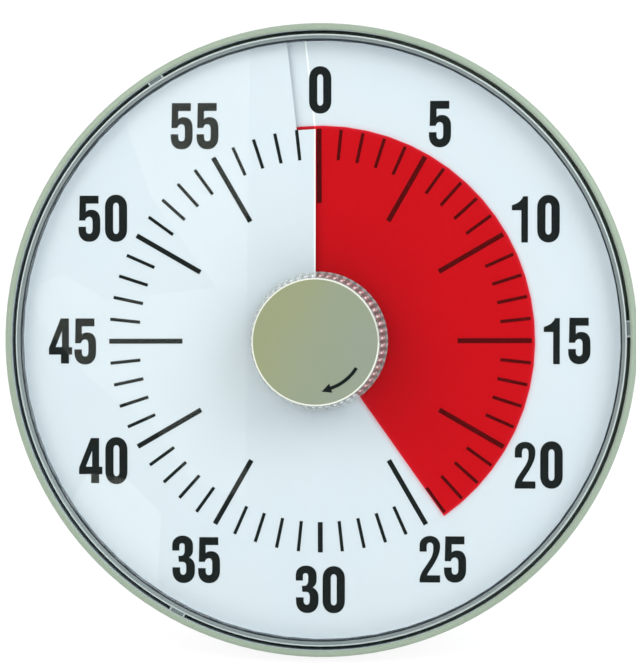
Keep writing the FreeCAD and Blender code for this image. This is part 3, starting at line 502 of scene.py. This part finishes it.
INK = print_ink()
FINISHES = {
    "case_silver": case_silver(),
    "ring_silver": ring_silver(),
    "cover_plastic": plain_finish("cover_plastic", (0.60, 0.61, 0.58), 0.5, 0.25, 0.02),
    "rubber": plain_finish("rubber", (0.03, 0.03, 0.032), 0.75, 0.3, 0.03, vary=0.2),
    "lens_clear": lens_clear(),
    "dial_card": dial_white(),
    "film_red": film_red(),
    "white_plastic": plain_finish("white_plastic", (0.74, 0.78, 0.81), 0.42, 0.3, 0.008),
    "cap_satin": cap_satin(),
    "grip_clear": grip_clear(),
    "steel": plain_finish("steel", (0.55, 0.56, 0.57), 0.28, 0.1, 0.004, 1.0, 0.06),
    "brass": plain_finish("brass", (0.68, 0.47, 0.18), 0.3, 0.1, 0.004, 1.0, 0.06),
    "gear_plastic": plain_finish("gear_plastic", (0.78, 0.73, 0.58), 0.4, 0.2, 0.005),
    "movement_plastic": plain_finish("movement_plastic", (0.02, 0.02, 0.022), 0.5, 0.25, 0.015),
    "copper": plain_finish("copper", (0.70, 0.27, 0.12), 0.35, 0.12, 0.02, 1.0, 0.1),
    "board_green": board_green(),
    "cell_jacket": plain_finish("cell_jacket", (0.05, 0.055, 0.06), 0.3, 0.4, 0.004),
    "nickel": plain_finish("nickel", (0.66, 0.65, 0.62), 0.2, 0.15, 0.003, 1.0, 0.05),
}


def dress_nodes():
    """Give every CAD node its finish."""
    slots = {row["node"]: row["material_slot"] for row in frame["record"]["subparts"]}
    for name, node in NODES.items():
        node.data.materials.clear()
        node.data.materials.append(FINISHES[slots[name]])


# Numbers: outlines in millimetres from the bottom left, with points for straight runs and pairs of
# handles with a point for curves

DIGITS = {
    "0": (
        6.6,
        [
            [
                (0, 3.7),
                (0, 10.25),
                (0, 12.5, 1.4, 13.95, 3.3, 13.95),
                (5.2, 13.95, 6.6, 12.5, 6.6, 10.25),
                (6.6, 3.7),
                (6.6, 1.45, 5.2, 0, 3.3, 0),
                (1.4, 0, 0, 1.45, 0, 3.7),
            ],
            [
                (2.43, 3.6),
                (2.43, 10.3),
                (2.43, 11.1, 2.8, 11.55, 3.3, 11.55),
                (3.8, 11.55, 4.17, 11.1, 4.17, 10.3),
                (4.17, 3.6),
                (4.17, 2.8, 3.8, 2.35, 3.3, 2.35),
                (2.8, 2.35, 2.43, 2.8, 2.43, 3.6),
            ],
        ],
    ),
    "1": (
        4.71,
        [
            [
                (4.71, 13.56),
                (4.71, 0),
                (2.76, 0),
                (2.76, 9.45),
                (0, 9.45),
                (0, 10.95),
                (1.9, 11.5, 2.8, 12.3, 3.3, 13.56),
            ]
        ],
    ),
    "2": (
        6.06,
        [
            [
                (0, 9.09),
                (0, 11.04),
                (0, 12.6, 1.3, 13.75, 3.06, 13.75),
                (4.85, 13.75, 6.06, 12.5, 6.06, 10.74),
                (6.06, 8.8, 5.3, 7.3, 4.26, 5.49),
                (3.3, 3.9, 2.6, 3.1, 2.22, 2.13),
                (6.06, 2.13),
                (6.06, 0),
                (0, 0),
                (0, 0.7),
                (0.1, 2.3, 0.9, 3.5, 1.86, 4.89),
                (3.2, 6.8, 4.02, 8.1, 4.02, 9.69),
                (4.02, 10.59),
                (4.02, 11.35, 3.65, 11.79, 3.06, 11.79),
                (2.45, 11.79, 2.1, 11.35, 2.1, 10.59),
                (2.1, 9.09),
            ]
        ],
    ),
    "3": (
        6.75,
        [
            [
                (0, 9.6),
                (0, 11.3),
                (0, 12.9, 1.3, 14.07, 3.1, 14.07),
                (4.9, 14.07, 6.18, 12.9, 6.18, 11.16),
                (6.18, 9.9),
                (6.18, 8.9, 5.9, 8.2, 5.04, 7.6),
                (6.2, 7.0, 6.75, 6.1, 6.75, 4.71),
                (6.75, 3.66),
                (6.75, 1.4, 5.4, 0, 3.39, 0),
                (1.4, 0, 0.06, 1.4, 0.06, 3.66),
                (0.06, 4.65),
                (2.34, 4.65),
                (2.34, 3.66),
                (2.34, 2.9, 2.7, 2.46, 3.27, 2.46),
                (3.8, 2.46, 4.14, 2.9, 4.14, 3.81),
                (4.14, 4.86),
                (4.14, 5.8, 3.8, 6.27, 3.0, 6.27),
                (1.95, 6.27),
                (1.8, 8.07),
                (2.5, 8.07),
                (3.3, 8.07, 3.69, 8.7, 3.69, 9.7),
                (3.69, 11.01),
                (3.69, 11.5, 3.4, 11.8, 2.91, 11.8),
                (2.45, 11.8, 2.13, 11.5, 2.13, 11.01),
                (2.13, 9.6),
            ]
        ],
    ),
    "4": (
        6.96,
        [
            [
                (3.54, 13.38),
                (6.0, 13.38),
                (6.0, 4.89),
                (6.96, 4.89),
                (6.96, 2.64),
                (6.0, 2.64),
                (6.0, 0),
                (3.6, 0),
                (3.6, 2.64),
                (0, 2.64),
                (0, 4.59),
            ],
            [(3.9, 9.6), (3.9, 4.89), (2.04, 4.89)],
        ],
    ),
    "5": (
        6.51,
        [
            [
                (0.36, 13.65),
                (6.0, 13.65),
                (6.0, 11.31),
                (2.25, 11.31),
                (2.25, 8.85),
                (2.5, 9.25, 3.1, 9.51, 3.81, 9.51),
                (5.6, 9.51, 6.51, 8.3, 6.51, 6.21),
                (6.51, 3.81),
                (6.51, 1.4, 5.2, 0, 3.21, 0),
                (1.2, 0, 0, 1.4, 0, 3.66),
                (0, 4.47),
                (2.25, 4.47),
                (2.25, 3.51),
                (2.25, 2.8, 2.6, 2.4, 3.21, 2.4),
                (3.85, 2.4, 4.2, 2.9, 4.2, 3.81),
                (4.2, 5.91),
                (4.2, 6.9, 3.85, 7.41, 3.15, 7.41),
                (2.55, 7.41, 2.1, 6.9, 2.01, 6.3),
                (0.21, 6.3),
            ]
        ],
    ),
}
# The space to the left and right of each digit
BEARING = {
    "0": (0.7, 0.7),
    "1": (0.5, 2.0),
    "2": (0.45, 0.7),
    "3": (0.4, 0.5),
    "4": (0.15, 0.2),
    "5": (0.45, 0.7),
}
# How far a digit stands above the line of the others
RAISED = {"4": 0.27}
# Where each number's middle lies, right of and above the dial's middle
NUMBER_PLACES = {
    0: (-0.1, 75.2),
    5: (35.9, 65.0),
    10: (64.6, 36.5),
    15: (74.0, 0.1),
    20: (65.6, -37.2),
    25: (36.9, -65.6),
    30: (0.0, -75.1),
    35: (-37.6, -66.3),
    40: (-65.8, -36.5),
    45: (-75.1, -0.35),
    50: (-65.8, 36.7),
    55: (-37.9, 64.5),
}
CURVE_STEPS = 8


def traced(path):
    """Points along an outline of straight runs and curves."""
    points = []
    for step in path:
        if len(step) == 2 or not points:
            points.append(step[-2:])
            continue
        start = points[-1]
        for i in range(1, CURVE_STEPS + 1):
            t = i / CURVE_STEPS
            weights = ((1 - t) ** 3, 3 * t * (1 - t) ** 2, 3 * t * t * (1 - t), t**3)
            ends = (start, step[:2], step[2:4], step[4:])
            points.append(
                tuple(sum(w * e[axis] for w, e in zip(weights, ends)) for axis in (0, 1))
            )
    if Vector(points[0]) - Vector(points[-1]) == Vector((0, 0)):
        points.pop()
    return [p for i, p in enumerate(points) if (Vector(p) - Vector(points[i - 1])).length > 1e-6]


def number_sheet(number):
    """One number, upright, on the card."""
    text = str(number)
    across, up = NUMBER_PLACES[number]
    clock = MINUTE * number
    spans = []
    pen = 0
    for index, digit in enumerate(text):
        pen += BEARING[digit][0] if index else 0
        spans.append(pen)
        pen += DIGITS[digit][0] + (BEARING[digit][1] if index < len(text) - 1 else 0)

    def lift(x, y):
        angle = math.degrees(math.atan2(x, y)) % 360
        angle += 360 * round((clock - angle) / 360)
        return card_height(angle) + INK_LIFT

    sheets = []
    for digit, start in zip(text, spans):
        left = start - pen / 2
        low = -NUMBER_TALL / 2 + RAISED.get(digit, 0)
        outlines = [
            [
                (across + NUMBER_SCALE * (left + x), up + NUMBER_SCALE * (low + y))
                for x, y in traced(path)
            ]
            for path in DIGITS[digit][1]
        ]
        sheets.append(print_sheet(outlines, lift))
    return join(sheets)


def line_sheet(minute):
    """One minute line, from its inner end out."""
    clock = MINUTE * minute
    long = minute % 5 == 0
    inner = LONG_LINE if long and minute != 30 else SHORT_LINE
    half = (THICK if long else THIN) / 2
    along = on_clock(clock + PRINT_TURN, 1)
    side = Vector((along.y, -along.x)) * half
    middle = Vector(PRINT_MIDDLE)
    corners = [middle + along * inner - side, middle + along * inner + side]
    corners += [middle + along * LINE_END + side, middle + along * LINE_END - side]
    height = card_height(clock) + INK_LIFT
    return print_sheet([[tuple(c) for c in corners]], lambda x, y: height)


def arrow_sheet():
    """The knob's turning arrow: an arc with a head at its clockwise end."""
    steps = 14
    neck = ARROW_END - math.degrees(ARROW_HEAD / ARROW_RAD)
    angles = [ARROW_START + (neck - ARROW_START) * i / steps for i in range(steps + 1)]
    outer = [tuple(on_clock(a, ARROW_RAD + ARROW_WIDE / 2)) for a in angles]
    inner = [tuple(on_clock(a, ARROW_RAD - ARROW_WIDE / 2)) for a in reversed(angles)]
    head = [
        tuple(on_clock(neck, ARROW_RAD + ARROW_HEAD / 2)),
        tuple(on_clock(ARROW_END, ARROW_RAD + ARROW_DROP)),
        tuple(on_clock(neck, ARROW_RAD - ARROW_HEAD / 2)),
    ]
    return print_sheet([outer + head + inner], lambda x, y: CAP_TOP + INK_LIFT)


def make_prints():
    """Every print of the dial and of the knob."""
    for number in NUMBER_PLACES:
        place(f"number_{number}", number_sheet(number), "case", INK)
    for name, kept in (("five_minute_lines", True), ("minute_lines", False)):
        lines = [line_sheet(minute) for minute in range(60) if (minute % 5 == 0) == kept]
        place(name, join(lines), "case", INK)
    place("turning_arrow", arrow_sheet(), "knob", INK)


# Room

CAMERA_AIM = (-0.6, 2.1, 26)
CAMERA_PLACE = (86.5, 29.2, 1100)
CAMERA_LENS = 203.2
# Pale window shapes that the lens mirrors: their height and tint, then the brightness of each and
# its corners as they lie on the lens
VEIL_OUT = 700
VEIL_TINT = rgba(1, 1, 0.9)
VEILS = [
    (2.2, [(-59, 66), (-39, 83), (-21, 88), (-22, 15), (-31, 16), (-51, 43)]),
    (
        1.7,
        [
            (-78, 20),
            (-64, 12),
            (-31, 16),
            (-22, 15),
            (-22, -48),
            (-39, -42),
            (-51, -25),
            (-66, -13),
            (-88, 15),
        ],
    ),
    (1.8, [(-88, 15), (-78, 7), (-73, -2), (-60, -19), (-69, -12), (-85, 6)]),
    (2.6, [(-70, -40), (-58, -42), (-48, -52), (-49, -75), (-60, -66), (-75, -49)]),
]


def at(right, up, out):
    """A place in metres from one in dial coordinates."""
    return DIAL @ (Vector((right, up, out)) * MM)


def aimed(thing, place_at, target):
    """Put a lamp or camera somewhere and turn it to face a target, upright."""
    spot, goal = at(*place_at), at(*target)
    away = (spot - goal).normalized()
    across = UP.cross(away).normalized()
    upright = away.cross(across)
    turn = Matrix((across, upright, away)).transposed()
    thing.matrix_world = Matrix.Translation(spot) @ turn.to_4x4()
    bpy.context.scene.collection.objects.link(thing)
    return thing


def make_camera():
    """The photograph's view, from a little right of and above the dial's axis."""
    lens = bpy.data.cameras.new("camera")
    lens.lens = CAMERA_LENS
    lens.sensor_fit = "HORIZONTAL"
    lens.clip_start = 0.01
    camera = aimed(bpy.data.objects.new("camera", lens), CAMERA_PLACE, CAMERA_AIM)
    bpy.context.scene.camera = camera


def make_lamp(name, place_at, size, power, colour):
    """A soft lamp that faces the dial."""
    lamp = bpy.data.lights.new(name, "AREA")
    lamp.shape = "RECTANGLE"
    lamp.size, lamp.size_y = size
    lamp.energy = power
    lamp.color = colour
    aimed(bpy.data.objects.new(name, lamp), place_at, (0, 0, 25))


def rays(paint, *ways):
    """1 for rays of any of these ways: Camera, Glossy, Transmission."""
    found = [paint.node("ShaderNodeLightPath", out=f"Is {way} Ray") for way in ways]
    return sum(found, 0).math("MINIMUM", 1.0)


def stage_sheet(name, corners, finish):
    """A flat sheet of the room, from corners in metres."""
    mesh = bpy.data.meshes.new(name)
    mesh.from_pydata(corners, [], [list(range(len(corners)))])
    mesh.materials.append(finish)
    sheet = bpy.data.objects.new(name, mesh)
    bpy.context.scene.collection.objects.link(sheet)


def make_floor():
    """A pale floor, which shows white to the camera."""
    paint = Paint("floor_white")
    grain = paint.noise(60, 2)
    colour = paint.mix(grain, rgba(0.88, 0.88, 0.88), rgba(0.90, 0.90, 0.90))
    matt = paint.shine(Base_Color=colour, Roughness=0.7, Specular_IOR_Level=0.1)
    glow = paint.node("ShaderNodeEmission", {}, {"Color": rgba(1, 1, 1), "Strength": 1.06})
    share = rays(paint, "Camera", "Glossy", "Transmission") * 0.85
    half = 4.0
    corners = [(-half, -half, 0), (half, -half, 0), (half, half, 0), (-half, half, 0)]
    stage_sheet("floor", corners, paint.finish(paint.blend(share, matt, glow)))


def make_veils():
    """Glowing shapes in front of the timer that only mirrors see."""
    lens_eye = Vector((*CAMERA_PLACE[:2], 2 * LENS_TOP - CAMERA_PLACE[2]))
    for number, (glow, corners) in enumerate(VEILS):
        paint = Paint(f"veil_{number}")
        bright = paint.node("ShaderNodeEmission", {}, {"Color": VEIL_TINT, "Strength": glow})
        clear = paint.node("ShaderNodeBsdfTransparent")
        finish = paint.finish(paint.blend(rays(paint, "Glossy"), clear, bright))
        reach_out = (VEIL_OUT + number - lens_eye.z) / (LENS_TOP - lens_eye.z)
        spots = [lens_eye + (Vector((*c, LENS_TOP)) - lens_eye) * reach_out for c in corners]
        stage_sheet(f"veil_{number}", [at(*spot) for spot in spots], finish)


def make_world():
    """White behind the timer and a dim room in front of it, where its lens and metal look."""
    room = Paint("room", "worlds")
    bpy.context.scene.world = room.owner
    way = room.node("ShaderNodeTexCoord", out="Generated")
    depth = room.node("ShaderNodeSeparateXYZ", {}, {0: way}, "Y")
    behind = room.node("ShaderNodeMapRange", {}, {0: depth, 1: -0.35, 2: 0.1})
    share = rays(room, "Camera", "Transmission") + rays(room, "Glossy") * behind
    height = room.node("ShaderNodeSeparateXYZ", {}, {0: way}, "Z")
    dim, white, dusk = [
        room.node("ShaderNodeBackground", {}, {"Color": colour, "Strength": strength})
        for colour, strength in (
            (rgba(0.93, 0.97, 1), height * 0.35 + 0.80),
            (rgba(1, 1, 1), 1.0),
            (rgba(0.95, 0.98, 1), 0.3),
        )
    ]
    ambient = room.blend(rays(room, "Glossy"), dim, dusk)
    mixed = room.blend(share.math("MINIMUM", 1.0), ambient, white)
    room.node("ShaderNodeOutputWorld", {}, {"Surface": mixed})


def make_room():
    """Floor, world, camera, mirrored windows and lamps."""
    make_floor()
    make_world()
    make_camera()
    make_veils()
    make_lamp("window_lamp", (-560, 420, 620), (0.6, 0.6), 2.5, (1.0, 1.0, 0.92))
    make_lamp("front_lamp", (760, 520, 720), (0.8, 0.8), 5.8, (0.92, 0.98, 1.0))
    bpy.context.scene.view_settings.view_transform = "Standard"


dress_nodes()
make_prints()
make_room()
